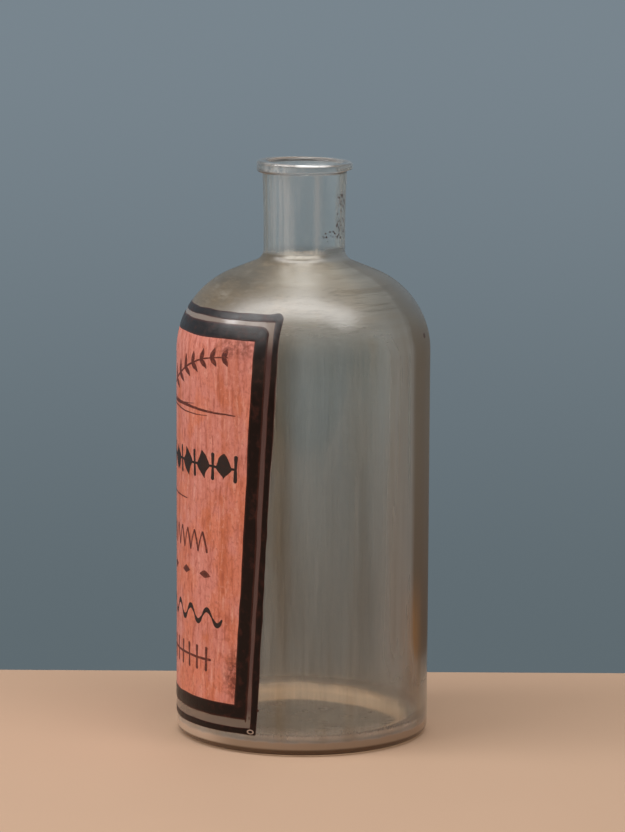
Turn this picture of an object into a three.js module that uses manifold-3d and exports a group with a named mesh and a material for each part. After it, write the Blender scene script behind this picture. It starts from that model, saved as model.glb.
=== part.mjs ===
import * as THREE from 'three';
import { mergeVertices } from 'three/addons/utils/BufferGeometryUtils.js';
import Module from 'manifold-3d';

const wasm = await Module();
wasm.setup();

// A large blown apothecary bottle, open at the mouth, with a painted label round its front.
// Millimetres. It stands on z = 0, its axis is Z and the middle of the label faces -Y.

// Glass body
const bottleHeight = 272.5;
const bodyRadius = 60;
const bodyWall = 3;
const cylinderTop = 183; // where the straight side ends
const shoulderRadius = 40; // of the shoulder's arc in section
const shoulderSlope = 22.1; // degrees from level, where the arc meets the neck's root
const heelRadius = 3.5;
const floorThickness = 5.5;
const floorCornerRadius = 8;
const restRingWidth = 9;
const pushUpDepth = 2.5; // hollow of the underside

// Neck and laid-on lip
const neckRadius = 19.3;
const boreRadius = 16.5;
const neckRootFillet = 6;
const neckFlare = 0.6; // how much the neck widens towards the lip
const neckFlareLength = 22;
const lipRadius = 22.6;
const lipHeight = 4.8;
const lipRounding = 1.1;
const lipMouthRounding = 2;
const lipSeatGap = 0.3;

// Label, measured along the glass; its sides lean out a little towards the top
const labelBottom = 9;
const labelRise = 23; // how far it climbs above the straight side, onto the shoulder
const labelHalfWidthBottom = 72.6;
const labelHalfWidthTop = 83.2;
const outerLineWidth = 2.6;
const lineGap = 2.2; // bare glass between the outer line and the frame
const lineGapBelow = 3.9;
const frameWidth = 6.7;
const panelGap = 0.3; // between the frame and the ground
const filmGap = 0.3; // between one layer and the next
const filmThickness = 0.3;
const inkThickness = 0.3;

// Ink ornament on the ground: each row's height on the panel as a share of the panel's height
const sprigShare = 0.9;
const groundStrokeShare = 0.8;
const boldRowShare = 0.65;
const fineRuleShare = 0.545;
const zigzagShare = 0.435;
const dotShare = 0.345;
const waveShare = 0.23;
const flutedShare = 0.11;

const boldRowMargin = 5.5; // from the panel's edge to the end of each row
const boldRowUnits = 9;
const boldRowHeight = 13;
const boldBarWidth = 1.8;
const sprigMargin = 12;
const sprigStart = 5; // from the middle of the label
const sprigRise = 18;
const sprigLeaves = 7;
const sprigLeafLength = 8.5;
const sprigLeafWidth = 3;
const sprigLeafTurn = 52; // degrees between leaf and stem
const sprigTaper = 0.6; // length of the outermost leaf as a share of the first
const groundStrokeMargin = 7;
const groundStrokeWidth = 1.6;
const groundStrokeEnds = 0.3; // width of its ends as a share of its width
const fineRuleHalfLength = 27;
const fineRuleWidth = 0.9;
const zigzagMargin = 21;
const zigzagHeight = 10;
const zigzagPitch = 7;
const dotSpacing = 17;
const dotLength = 8;
const dotHeight = 4;
const dotsEachSide = 3;
const waveMargin = 9;
const waveHeight = 9;
const wavePitch = 14;
const waveSwell = 2.6; // width of the stroke in its bends
const flutedMargin = 15;
const flutedHeight = 12;
const flutedPitch = 7;
const flutedBarWidth = 1.6;
const penWidth = 1.2;
const leafTip = 0.2; // width of a leaf's or lozenge's point

// Fineness
const roundSteps = 60;
const shoulderSteps = 8;
const filletSteps = 4;
const cornerSteps = 3;
const lipSteps = 2;
const filmStep = 6; // longest stretch of a film round the bottle
const pushUpSteps = 3;
const filmSideSteps = 2;
const waveSteps = 4; // in one bend
const borderStrips = 2; // side by side across the width of a border
const weld = 1e-4; // points closer than this are one

const radians = THREE.MathUtils.degToRad;
const lerp = THREE.MathUtils.lerp;
const labelTop = cylinderTop + labelRise;
const neckEnd = bottleHeight - lipHeight - lipSeatGap;
const neckTopRadius = neckRadius + neckFlare;
const filmLift = [filmGap, filmGap + filmThickness];
const inkLift = [filmLift[1] + filmGap, filmLift[1] + filmGap + inkThickness];

// Materials
const glass = new THREE.MeshStandardMaterial({
  color: 0x8f938c, roughness: 0.18, metalness: 0, transparent: true, opacity: 0.45,
});
const salmonPaint = new THREE.MeshStandardMaterial({ color: 0xc8705a, roughness: 0.55, metalness: 0 });
const blackPaint = new THREE.MeshStandardMaterial({ color: 0x1a1412, roughness: 0.4, metalness: 0 });
const blackInk = new THREE.MeshStandardMaterial({ color: 0x150d0b, roughness: 0.5, metalness: 0 });
const maroonInk = new THREE.MeshStandardMaterial({ color: 0x5e1a12, roughness: 0.5, metalness: 0 });

// Glass

function arc(centreRadius, centreHeight, radius, from, to, steps) {
  return Array.from({ length: steps + 1 }, (_, k) => {
    const angle = lerp(from, to, k / steps);
    return new THREE.Vector2(
      centreRadius + radius * Math.cos(angle), centreHeight + radius * Math.sin(angle));
  });
}

// Shoulder arc and neck root of one face of the glass, from the straight side up
function shoulderAndRoot(shoulder, neck, fillet) {
  const slope = radians(shoulderSlope);
  const side = arc(bodyRadius - shoulderRadius, cylinderTop, shoulder,
    0, Math.PI / 2 - slope, shoulderSteps);
  const arcEnd = side[side.length - 1];
  const coneEndRadius = neck + fillet * (1 - Math.sin(slope));
  const coneEndHeight = arcEnd.y + (arcEnd.x - coneEndRadius) * Math.tan(slope);
  const root = arc(neck + fillet, coneEndHeight + fillet * Math.cos(slope), fillet,
    1.5 * Math.PI - slope, Math.PI, filletSteps);
  return [...side, ...root];
}

function glassProfile() {
  const ringInner = bodyRadius - heelRadius - restRingWidth;
  const pushUp = Array.from({ length: pushUpSteps + 1 }, (_, k) => {
    const share = k / pushUpSteps;
    return new THREE.Vector2(ringInner * share, pushUpDepth * (1 - share * share));
  });
  const heel = arc(bodyRadius - heelRadius, heelRadius, heelRadius, -Math.PI / 2, 0, cornerSteps);
  const outside = shoulderAndRoot(shoulderRadius, neckRadius, neckRootFillet);
  const inside = shoulderAndRoot(shoulderRadius - bodyWall, boreRadius, neckRootFillet + bodyWall);
  const floorCorner = arc(bodyRadius - bodyWall - floorCornerRadius,
    floorThickness + floorCornerRadius, floorCornerRadius, 0, -Math.PI / 2, cornerSteps);
  return [
    ...pushUp,
    ...heel,
    ...outside,
    new THREE.Vector2(neckRadius, neckEnd - neckFlareLength),
    new THREE.Vector2(neckTopRadius, neckEnd),
    new THREE.Vector2(boreRadius + neckFlare, neckEnd),
    new THREE.Vector2(boreRadius, neckEnd - neckFlareLength),
    ...inside.reverse(),
    ...floorCorner,
    new THREE.Vector2(0, floorThickness),
  ];
}

// Ring of glass laid on the cut end of the neck, tooled smooth, with a flared mouth
function lipProfile() {
  const bottom = neckEnd + lipSeatGap;
  const mouth = boreRadius + neckFlare;
  const lowerEdge = arc(lipRadius - lipRounding, bottom + lipRounding, lipRounding,
    -Math.PI / 2, 0, lipSteps);
  const upperEdge = arc(lipRadius - lipRounding / 2, bottleHeight - lipRounding / 2,
    lipRounding / 2, 0, Math.PI / 2, lipSteps);
  const mouthEdge = arc(mouth + lipMouthRounding, bottleHeight - lipMouthRounding,
    lipMouthRounding, Math.PI / 2, Math.PI, lipSteps);
  const start = new THREE.Vector2(mouth, bottom);
  return [start, ...lowerEdge, ...upperEdge, ...mouthEdge, start.clone()];
}

function turned(profile) {
  return new THREE.LatheGeometry(profile, roundSteps).rotateX(Math.PI / 2);
}

// Films of paint and ink on the glass

// A place on the label, across and up in millimetres, lifted off the glass
function onGlass(across, height, lift) {
  const climb = Math.max(height - cylinderTop, 0) / shoulderRadius;
  const level = Math.sqrt(1 - climb * climb);
  const radius = bodyRadius - shoulderRadius + (shoulderRadius + lift) * level;
  const angle = across / bodyRadius;
  return new THREE.Vector3(
    radius * Math.sin(angle), -radius * Math.cos(angle), height + lift * climb);
}

// Closed film through rows of places: place(i, j) goes along with i and to the left with j
function film(along, aside, closed, place, [under, over]) {
  const rings = closed ? along : along + 1;
  const positions = [];
  for (let i = 0; i < rings; i += 1) {
    for (let j = 0; j <= aside; j += 1) {
      const [across, height] = place(i, j);
      positions.push(...onGlass(across, height, under), ...onGlass(across, height, over));
    }
  }
  const index = (i, j, side) => ((i % rings) * (aside + 1) + j) * 2 + side;
  const triangles = [];
  const quad = (a, b, c, d) => triangles.push(a, b, c, a, c, d);
  for (let i = 0; i < along; i += 1) {
    for (let j = 0; j < aside; j += 1) {
      quad(index(i, j, 1), index(i + 1, j, 1), index(i + 1, j + 1, 1), index(i, j + 1, 1));
      quad(index(i, j, 0), index(i, j + 1, 0), index(i + 1, j + 1, 0), index(i + 1, j, 0));
    }
    quad(index(i, 0, 0), index(i + 1, 0, 0), index(i + 1, 0, 1), index(i, 0, 1));
    quad(index(i, aside, 1), index(i + 1, aside, 1), index(i + 1, aside, 0), index(i, aside, 0));
  }
  for (let j = 0; j < aside && !closed; j += 1) {
    quad(index(0, j, 0), index(0, j, 1), index(0, j + 1, 1), index(0, j + 1, 0));
    quad(index(along, j, 1), index(along, j, 0), index(along, j + 1, 0), index(along, j + 1, 1));
  }
  const geometry = new THREE.BufferGeometry();
  geometry.setAttribute('position', new THREE.Float32BufferAttribute(positions, 3));
  geometry.setIndex(triangles);
  return geometry;
}

// An outline of the label, drawn in from its outer edge
function labelEdge(inset, insetBelow) {
  const halfWidth = (height) => lerp(labelHalfWidthBottom, labelHalfWidthTop,
    (height - labelBottom) / (labelTop - labelBottom)) - inset;
  return { bottom: labelBottom + insetBelow, top: labelTop - inset, halfWidth };
}

// The same inside the outer line, where the bare gap is wider at the bottom
function insetEdge(inset) {
  const whole = outerLineWidth + inset;
  return labelEdge(whole, whole + lineGapBelow - lineGap);
}

// Heights from an outline's bottom to its top, close together on the curve of the shoulder
function risers({ bottom, top }, rise) {
  const curvedSteps = Math.ceil(rise / filmStep);
  const straight = Array.from({ length: filmSideSteps }, (_, k) =>
    lerp(bottom, cylinderTop, k / filmSideSteps));
  const curved = Array.from({ length: curvedSteps + 1 }, (_, k) =>
    lerp(cylinderTop, top, k / curvedSteps));
  return [...straight, ...curved];
}

// Places round an outline, anticlockwise from its lower left corner
function outlinePlaces(edge) {
  const steps = Math.ceil(2 * labelHalfWidthTop / filmStep);
  const heights = risers(edge, labelRise);
  const level = (height) => Array.from({ length: steps }, (_, k) =>
    [lerp(-1, 1, k / steps) * edge.halfWidth(height), height]);
  const up = heights.slice(0, -1).map((height) => [edge.halfWidth(height), height]);
  const turnedBack = ([across, height]) => [-across, height];
  return [
    ...level(edge.bottom),
    ...up,
    ...level(edge.top).map(turnedBack),
    ...heights.slice(1).reverse().map((height) => [-edge.halfWidth(height), height]),
  ];
}

function border(outer, inner) {
  const outside = outlinePlaces(outer);
  const inside = outlinePlaces(inner);
  const place = (i, j) => outside[i % outside.length].map((value, axis) =>
    lerp(value, inside[i % inside.length][axis], j / borderStrips));
  return film(outside.length, borderStrips, true, place, filmLift);
}

function panel(edge) {
  const columns = Math.ceil(2 * labelHalfWidthTop / filmStep);
  const heights = risers(edge, edge.top - cylinderTop);
  const place = (i, j) =>
    [lerp(-1, 1, i / columns) * edge.halfWidth(heights[j]), heights[j]];
  return film(columns, heights.length - 1, false, place, filmLift);
}

// One stroke through points on the label, with a width at each point
function stroke(points, widths) {
  const place = (i, j) => {
    const before = points[Math.max(i - 1, 0)];
    const after = points[Math.min(i + 1, points.length - 1)];
    const run = new THREE.Vector2(after[0] - before[0], after[1] - before[1]).normalize();
    const reach = (j - 0.5) * widths[i];
    return [points[i][0] - run.y * reach, points[i][1] + run.x * reach];
  };
  return film(points.length - 1, 1, false, place, inkLift);
}

function straightStroke(from, to, width) {
  const steps = Math.ceil(Math.abs(to[0] - from[0]) / filmStep) || 1;
  const points = Array.from({ length: steps + 1 }, (_, k) =>
    [lerp(from[0], to[0], k / steps), lerp(from[1], to[1], k / steps)]);
  return stroke(points, points.map(() => width));
}

// A leaf or lozenge: pointed at both ends and widest in the middle
function leaf(from, to, width) {
  const middle = [(from[0] + to[0]) / 2, (from[1] + to[1]) / 2];
  return stroke([from, middle, to], [leafTip, width, leafTip]);
}

function lozenge(across, height, length, width) {
  return leaf([across - length / 2, height], [across + length / 2, height], width);
}

function solidOf(geometry) {
  const merged = mergeVertices(geometry, weld);
  return new wasm.Manifold(new wasm.Mesh({
    numProp: 3,
    vertProperties: new Float32Array(merged.attributes.position.array),
    triVerts: new Uint32Array(merged.index.array),
  }));
}

function joined(strokes) {
  const solid = strokes.map(solidOf).reduce((whole, piece) => whole.add(piece));
  const mesh = solid.getMesh();
  const geometry = new THREE.BufferGeometry();
  geometry.setAttribute('position', new THREE.Float32BufferAttribute(mesh.vertProperties, 3));
  geometry.setIndex(Array.from(mesh.triVerts));
  return geometry;
}

// Rows of ornament

const panelEdge = insetEdge(lineGap + frameWidth + panelGap);

function rowHeight(share) {
  return lerp(panelEdge.bottom, panelEdge.top, share);
}

function rowHalfLength(share, margin) {
  return panelEdge.halfWidth(rowHeight(share)) - margin;
}

// One stroke along a row whose width changes the same way in each unit of it:
// unit(pitch) lists [distance from the unit's start, width]
function strungRow(height, half, units, unit) {
  const pitch = 2 * half / units;
  const stations = Array.from({ length: units }, (_, k) =>
    unit(pitch).map(([distance, width]) => [-half + k * pitch + distance, width])).flat();
  const closing = [half, unit(pitch)[0][1]];
  const all = [...stations, closing];
  return stroke(all.map(([across]) => [across, height]), all.map(([, width]) => width));
}

// Lozenges and bars strung on a line
function boldRow() {
  const halfBar = boldBarWidth / 2;
  const unit = (pitch) => [
    [0, boldRowHeight],
    [halfBar, boldRowHeight],
    [halfBar + leafTip, penWidth],
    [boldBarWidth, penWidth],
    [pitch / 2, boldRowHeight],
    [pitch - boldBarWidth, penWidth],
    [pitch - halfBar - leafTip, penWidth],
    [pitch - halfBar, boldRowHeight],
  ];
  return strungRow(rowHeight(boldRowShare), rowHalfLength(boldRowShare, boldRowMargin),
    boldRowUnits, unit);
}

// Leafy sprig that leans out from the middle; side is 1 for the right and -1 for the left
function sprig(side) {
  const low = rowHeight(sprigShare) - sprigRise / 2;
  const end = rowHalfLength(sprigShare, sprigMargin);
  const along = (share) => [
    side * lerp(sprigStart, end, share),
    low + sprigRise * Math.sin(share * Math.PI / 2),
  ];
  const steps = 2 * sprigLeaves;
  const stem = Array.from({ length: steps + 1 }, (_, k) => along(k / steps));
  const strokes = [stroke(stem, stem.map((_, k) => lerp(penWidth, penWidth / 2, k / steps)))];
  for (let k = 1; k <= sprigLeaves; k += 1) {
    const root = along((2 * k - 1) / steps);
    const next = along(2 * k / steps);
    const lean = Math.atan2(next[1] - root[1], next[0] - root[0]);
    const length = sprigLeafLength * lerp(1, sprigTaper, k / sprigLeaves);
    for (const turn of [-radians(sprigLeafTurn), radians(sprigLeafTurn)]) {
      const tip = [root[0] + length * Math.cos(lean + turn),
        root[1] + length * Math.sin(lean + turn)];
      strokes.push(leaf(root, tip, sprigLeafWidth));
    }
  }
  return joined(strokes);
}

// Long stroke that swells in the middle, under the sprigs
function groundStroke() {
  const height = rowHeight(groundStrokeShare);
  const half = rowHalfLength(groundStrokeShare, groundStrokeMargin);
  const steps = Math.ceil(2 * half / filmStep);
  const points = Array.from({ length: steps + 1 }, (_, k) =>
    [lerp(-half, half, k / steps), height]);
  const swell = (k) => groundStrokeWidth
    * lerp(groundStrokeEnds, 1, Math.sin(Math.PI * k / steps));
  return stroke(points, points.map((_, k) => swell(k)));
}

function fineRule() {
  const height = rowHeight(fineRuleShare);
  return straightStroke([-fineRuleHalfLength, height], [fineRuleHalfLength, height],
    fineRuleWidth);
}

function zigzagRow() {
  const middle = rowHeight(zigzagShare);
  const half = rowHalfLength(zigzagShare, zigzagMargin);
  const turns = 2 * Math.round(2 * half / zigzagPitch);
  const points = Array.from({ length: turns + 1 }, (_, k) =>
    [lerp(-half, half, k / turns), middle + zigzagHeight * (k % 2 - 0.5)]);
  const lean = Math.atan2(zigzagHeight, 2 * half / turns);
  return stroke(points, points.map(() => penWidth / Math.cos(lean)));
}

function dot(across) {
  return lozenge(across, rowHeight(dotShare), dotLength, dotHeight);
}

// Wavy stroke that swells in each bend
function waveRow() {
  const middle = rowHeight(waveShare);
  const half = rowHalfLength(waveShare, waveMargin);
  const bends = 2 * Math.round(2 * half / wavePitch);
  const steps = bends * waveSteps;
  const rise = (k) => Math.sin(Math.PI * k / waveSteps);
  const points = Array.from({ length: steps + 1 }, (_, k) =>
    [lerp(-half, half, k / steps), middle + (waveHeight - waveSwell) / 2 * rise(k)]);
  return stroke(points, points.map((_, k) => lerp(penWidth, waveSwell, Math.abs(rise(k)))));
}

// Upright bars strung on a line
function flutedRow() {
  const half = rowHalfLength(flutedShare, flutedMargin);
  const unit = (pitch) => {
    const start = (pitch - flutedBarWidth) / 2;
    return [
      [0, penWidth],
      [start - leafTip, penWidth],
      [start, flutedHeight],
      [start + flutedBarWidth, flutedHeight],
      [start + flutedBarWidth + leafTip, penWidth],
    ];
  };
  return strungRow(rowHeight(flutedShare), half, Math.round(2 * half / flutedPitch), unit);
}

// The bottle

const bottle = new THREE.Group();

function add(name, geometry, material) {
  const mesh = new THREE.Mesh(geometry, material);
  mesh.name = name;
  bottle.add(mesh);
}

add('bottle_body', turned(glassProfile()), glass);
add('lip_ring', turned(lipProfile()), glass);
add('label_outer_line', border(labelEdge(0, 0), labelEdge(outerLineWidth, outerLineWidth)),
  blackPaint);
add('label_frame', border(insetEdge(lineGap), insetEdge(lineGap + frameWidth)), blackPaint);
add('label_ground', panel(panelEdge), salmonPaint);
add('ink_sprig_left', sprig(-1), maroonInk);
add('ink_sprig_right', sprig(1), maroonInk);
add('ink_ground_stroke', groundStroke(), maroonInk);
add('ink_lozenge_row', boldRow(), blackInk);
add('ink_fine_rule', fineRule(), maroonInk);
add('ink_zigzag_row', zigzagRow(), maroonInk);
for (let k = 0; k < 2 * dotsEachSide; k += 1) {
  add(`ink_dot_${k + 1}`, dot((k + 0.5 - dotsEachSide) * dotSpacing), maroonInk);
}
add('ink_wave_row', waveRow(), blackInk);
add('ink_fluted_row', flutedRow(), maroonInk);

export default bottle;
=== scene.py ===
import math

import bpy
import numpy as np
from mathutils import Matrix, Vector


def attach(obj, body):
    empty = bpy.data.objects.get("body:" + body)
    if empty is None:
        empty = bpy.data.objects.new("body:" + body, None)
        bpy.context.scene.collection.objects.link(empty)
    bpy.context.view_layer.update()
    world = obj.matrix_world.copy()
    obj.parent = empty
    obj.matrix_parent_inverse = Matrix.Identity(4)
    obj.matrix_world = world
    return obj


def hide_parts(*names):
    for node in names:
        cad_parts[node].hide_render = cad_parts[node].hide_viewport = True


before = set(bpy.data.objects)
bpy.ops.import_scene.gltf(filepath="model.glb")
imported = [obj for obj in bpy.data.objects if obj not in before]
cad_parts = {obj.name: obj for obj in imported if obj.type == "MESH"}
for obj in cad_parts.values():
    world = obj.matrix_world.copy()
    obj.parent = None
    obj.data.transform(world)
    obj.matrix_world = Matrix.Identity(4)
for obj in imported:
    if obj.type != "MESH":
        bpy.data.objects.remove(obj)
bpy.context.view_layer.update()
print("frame loaded:", len(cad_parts), "solids")

# A round apothecary bottle of brushed, washed glass with a painted label round its front.
# Metres. It stands on z = 0, its axis is Z and the middle of the label faces -Y.


def lerp(low, high, share):
    return low + (high - low) * share


def smoothStep(low, high, value):
    share = np.clip((np.asarray(value, float) - low) / (high - low), 0, 1)
    return share * share * (3 - 2 * share)


def waver(seed, longest, shortest, count=8):
    rng = np.random.default_rng(seed)
    lengths = np.geomspace(longest, shortest, count)
    phases = rng.uniform(0, 2 * math.pi, count)
    weights = lengths ** 0.5 / (lengths ** 0.5).sum()

    def at(distance):
        turns = np.asarray(distance, float)[..., None] / lengths * 2 * math.pi
        return 1.6 * (np.sin(turns + phases) * weights).sum(-1)    # strays about 1 either way

    return at


def arc(centreRadius, centreHeight, radius, start, end, steps):
    angles = np.linspace(start, end, steps + 1)
    return [(centreRadius + radius * math.cos(a), centreHeight + radius * math.sin(a))
            for a in angles]


def filledIn(points, longest):
    points = np.array(points, float)
    keep = np.r_[True, np.linalg.norm(np.diff(points, axis=0), axis=1) > 1e-5]
    points = points[keep]
    filled = [points[:1]]
    for start, end in zip(points, points[1:]):
        steps = int(math.ceil(np.linalg.norm(end - start) / longest))
        filled.append(start + (end - start) * (np.arange(1, steps + 1) / steps)[:, None])
    return np.vstack(filled)


def addMesh(name, points, faces, material):
    mesh = bpy.data.meshes.new(name)
    mesh.from_pydata([tuple(p) for p in points], [], faces)
    mesh.materials.append(material)
    piece = bpy.data.objects.new(name, mesh)
    bpy.context.scene.collection.objects.link(piece)
    return piece


def addPiece(name, points, faces, stands, material, attributes, sharpAngle=None):
    piece = addMesh(name, points, faces, material)
    mesh = piece.data
    mesh.validate()
    mesh.polygons.foreach_set("use_smooth", [True] * len(mesh.polygons))
    if sharpAngle is not None:
        mesh.set_sharp_from_angle(angle=math.radians(sharpAngle))
    for key, values in attributes.items():
        layer = mesh.attributes.new(key, "FLOAT", "POINT")
        layer.data.foreach_set("value", np.asarray(values, np.float32))
    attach(piece, "root")
    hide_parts(*stands)


class Nodes:
    def __init__(self, tree):
        self.tree = tree

    def add(self, kind, **settings):
        made = self.tree.nodes.new(kind)
        for key, value in settings.items():
            setattr(made, key, value)
        return made

    def feed(self, socket, value):
        if isinstance(value, bpy.types.NodeSocket):
            self.tree.links.new(value, socket)
        else:
            socket.default_value = value

    def made(self, kind, output, *values, **settings):
        node = self.add(kind, **settings)
        for socket, value in zip(node.inputs, values):
            self.feed(socket, value)
        return node.outputs[output]

    def split(self, vector):
        node = self.add("ShaderNodeSeparateXYZ")
        self.feed(node.inputs[0], vector)
        return node.outputs

    def maths(self, operation, *values, clamp=False):
        return self.made("ShaderNodeMath", 0, *values, operation=operation, use_clamp=clamp)

    def chain(self, operation, values):
        result = values[0]
        for value in values[1:]:
            result = self.maths(operation, result, value)
        return result

    def product(self, *values):
        return self.chain("MULTIPLY", values)

    def most(self, *values):
        return self.chain("MAXIMUM", values)

    def total(self, first, second, clamp=False):
        return self.maths("ADD", first, second, clamp=clamp)

    def less(self, first, second, clamp=False):
        return self.maths("SUBTRACT", first, second, clamp=clamp)

    def rest(self, share):
        return self.less(1.0, share)

    def ramp(self, value, low, high, atLow=0.0, atHigh=1.0):
        return self.made("ShaderNodeMapRange", 0, value, low, high, atLow, atHigh,
                         interpolation_type="SMOOTHSTEP")

    def window(self, value, start, full, waning, gone):
        return self.product(self.ramp(value, start, full), self.ramp(value, gone, waning))

    def patchy(self, grain, least, start=0.3, end=0.6):
        return self.ramp(grain, start, end, least, 1.0)

    def blend(self, share, first, second, mode="MIX"):
        mix = self.add("ShaderNodeMix", data_type="RGBA", blend_type=mode)
        for place, value in ((0, share), (6, first), (7, second)):
            self.feed(mix.inputs[place], value)
        return mix.outputs[2]

    def between(self, share, first, second):
        mix = self.add("ShaderNodeMix", data_type="FLOAT")
        for place, value in ((0, share), (2, first), (3, second)):
            self.feed(mix.inputs[place], value)
        return mix.outputs[0]


class Finish(Nodes):
    def __init__(self, name):
        self.material = bpy.data.materials.new(name)
        self.material.use_nodes = True
        super().__init__(self.material.node_tree)
        self.shader = self.tree.nodes["Principled BSDF"]
        self.place = self.add("ShaderNodeTexCoord").outputs["Object"]
        self.x, self.y, self.z = self.split(self.place)

    def give(self, name, value):
        self.feed(self.shader.inputs[name], value)

    def stretched(self, upward):
        return self.made("ShaderNodeVectorMath", 0, self.place, (1, 1, upward),
                         operation="MULTIPLY")

    def vector(self, x, y, z):
        return self.made("ShaderNodeCombineXYZ", 0, x, y, z)

    def grain(self, where, scale, detail, rough, distortion=0.0):
        node = self.add("ShaderNodeTexNoise")
        self.feed(node.inputs["Vector"], where)
        node.inputs["Scale"].default_value = scale
        node.inputs["Detail"].default_value = detail
        node.inputs["Roughness"].default_value = rough
        node.inputs["Distortion"].default_value = distortion
        return node.outputs["Fac"]

    def dots(self, scale, reach):
        node = self.add("ShaderNodeTexVoronoi")
        self.feed(node.inputs["Vector"], self.place)
        node.inputs["Scale"].default_value = scale
        chance = self.made("ShaderNodeSeparateColor", 0, node.outputs["Color"])
        size = self.ramp(chance, 0.25, 0.90, 0.0, reach)           # few dots are large
        return self.ramp(self.less(size, node.outputs["Distance"]), 0.0, 0.08)

    def blot(self, centre, size, soft):
        shifted = self.made("ShaderNodeVectorMath", 0, self.place, centre, operation="SUBTRACT")
        scaled = self.made("ShaderNodeVectorMath", 0, shifted, size, operation="DIVIDE")
        length = self.made("ShaderNodeVectorMath", "Value", scaled, operation="LENGTH")
        return self.ramp(length, soft, 1.0, 1.0, 0.0)

    def relief(self, height, strength, distance):
        bump = self.add("ShaderNodeBump")
        bump.inputs["Strength"].default_value = strength
        bump.inputs["Distance"].default_value = distance
        self.feed(bump.inputs["Height"], height)
        self.give("Normal", bump.outputs[0])
        return bump.outputs[0]


glass = {
    "height": 0.2725,
    "bodyRadius": 0.060,
    "wall": 0.003,
    "sideTop": 0.183,          # where the straight side ends
    "shoulderRadius": 0.040,
    "shoulderSlope": 22.1,     # degrees from level, where the shoulder meets the neck's root
    "heelRadius": 0.0035,
    "floor": 0.0055,
    "floorCorner": 0.008,
    "restRing": 0.009,
    "pushUp": 0.0025,
    "neckRadius": 0.0193,
    "bore": 0.0165,
    "rootFillet": 0.006,
    "neckFlare": 0.0006,
    "neckFlareLength": 0.022,
    "lipRadius": 0.0226,
    "lipHeight": 0.0048,
    "lipRounding": 0.0008,
    "lipRoundingAbove": 0.0013,
    "mouthRounding": 0.002,
    "lipFillet": 0.0009,       # where the laid-on lip melts into the neck
    "steps": {"base": 24, "heel": 12, "shoulder": 48, "root": 24, "lipFillet": 5, "lip": 8,
              "mouth": 8, "floorCorner": 14},
    "around": 192,
    "spacing": 0.0013,
    "sway": 0.00012,           # how far the outside strays inward from a true round
    "thin": 0.00035,           # how far the inside strays either way
    "outsideWaves": ((0.45, 2, 0.7, 9), (0.3, 3, 2, -23), (0.25, 5, 4, 41)),
    "insideWaves": ((0.4, 1, 1.1, 14), (0.25, 3, 0.4, -37), (0.2, 6, 2.2, 61),
                    (0.15, 11, 5, -24)),       # strength, count, phase, twist
    "swayStarts": (0.004, 0.03),   # radius, so that the middle of the base stays calm
    "mouthReach": 0.006,
    "mouthCalm": 0.7,          # how much of the sway is gone at the mouth
    "lipSlope": 0.00042,       # the laid-on lip is lower on the side away from the label
    "lipTaper": 0.00047,       # and thinner there
    "ripples": ((0.00010, 7, 1), (0.00008, 4, 3)),     # in the lip's lower edge
}


def shoulderAndRoot(shoulder, neck, fillet):
    g = glass
    slope = math.radians(g["shoulderSlope"])
    side = arc(g["bodyRadius"] - g["shoulderRadius"], g["sideTop"], shoulder,
               0, math.pi / 2 - slope, g["steps"]["shoulder"])
    endRadius, endHeight = side[-1]
    coneRadius = neck + fillet * (1 - math.sin(slope))
    coneHeight = endHeight + (endRadius - coneRadius) * math.tan(slope)
    root = arc(neck + fillet, coneHeight + fillet * math.cos(slope), fillet,
               1.5 * math.pi - slope, math.pi, g["steps"]["root"])
    return side + root


def outsideProfile():
    g = glass
    steps = g["steps"]
    ring = g["bodyRadius"] - g["heelRadius"] - g["restRing"]
    pushUp = [(ring * s, g["pushUp"] * (1 - s * s)) for s in np.linspace(0, 1, steps["base"])]
    heel = arc(g["bodyRadius"] - g["heelRadius"], g["heelRadius"], g["heelRadius"],
               -math.pi / 2, 0, steps["heel"])
    neckEnd = g["height"] - g["lipHeight"]
    neckTop = g["neckRadius"] + g["neckFlare"]
    underLip = arc(neckTop + g["lipFillet"], neckEnd - g["lipFillet"], g["lipFillet"],
                   math.pi, math.pi / 2, steps["lipFillet"])
    lower = arc(g["lipRadius"] - g["lipRounding"], neckEnd + g["lipRounding"], g["lipRounding"],
                -math.pi / 2, 0, steps["lip"])
    above = g["lipRoundingAbove"]
    upper = arc(g["lipRadius"] - above, g["height"] - above, above, 0, math.pi / 2,
                steps["lip"])
    return (pushUp + heel + shoulderAndRoot(g["shoulderRadius"], g["neckRadius"], g["rootFillet"])
            + [(g["neckRadius"], neckEnd - g["neckFlareLength"])] + underLip + lower + upper)


def insideProfile():
    g = glass
    mouth = g["bore"] + g["neckFlare"]
    neckEnd = g["height"] - g["lipHeight"]
    mouthEdge = arc(mouth + g["mouthRounding"], g["height"] - g["mouthRounding"],
                    g["mouthRounding"], math.pi / 2, math.pi, g["steps"]["mouth"])
    inside = shoulderAndRoot(g["shoulderRadius"] - g["wall"], g["bore"],
                             g["rootFillet"] + g["wall"])
    corner = arc(g["bodyRadius"] - g["wall"] - g["floorCorner"], g["floor"] + g["floorCorner"],
                 g["floorCorner"], 0, -math.pi / 2, g["steps"]["floorCorner"])
    return (mouthEdge + [(g["bore"], neckEnd - g["neckFlareLength"])]
            + inside[::-1] + corner + [(0.0, g["floor"])])


def waves(table, angle, height):
    return sum(strength * np.sin(count * angle + phase + twist * height)
               for strength, count, phase, twist in table)


def outsideSway(angle, height):
    return -glass["sway"] * (1 + waves(glass["outsideWaves"], angle, height))


def insideSway(angle, height):
    return glass["thin"] * waves(glass["insideWaves"], angle, height)


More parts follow.
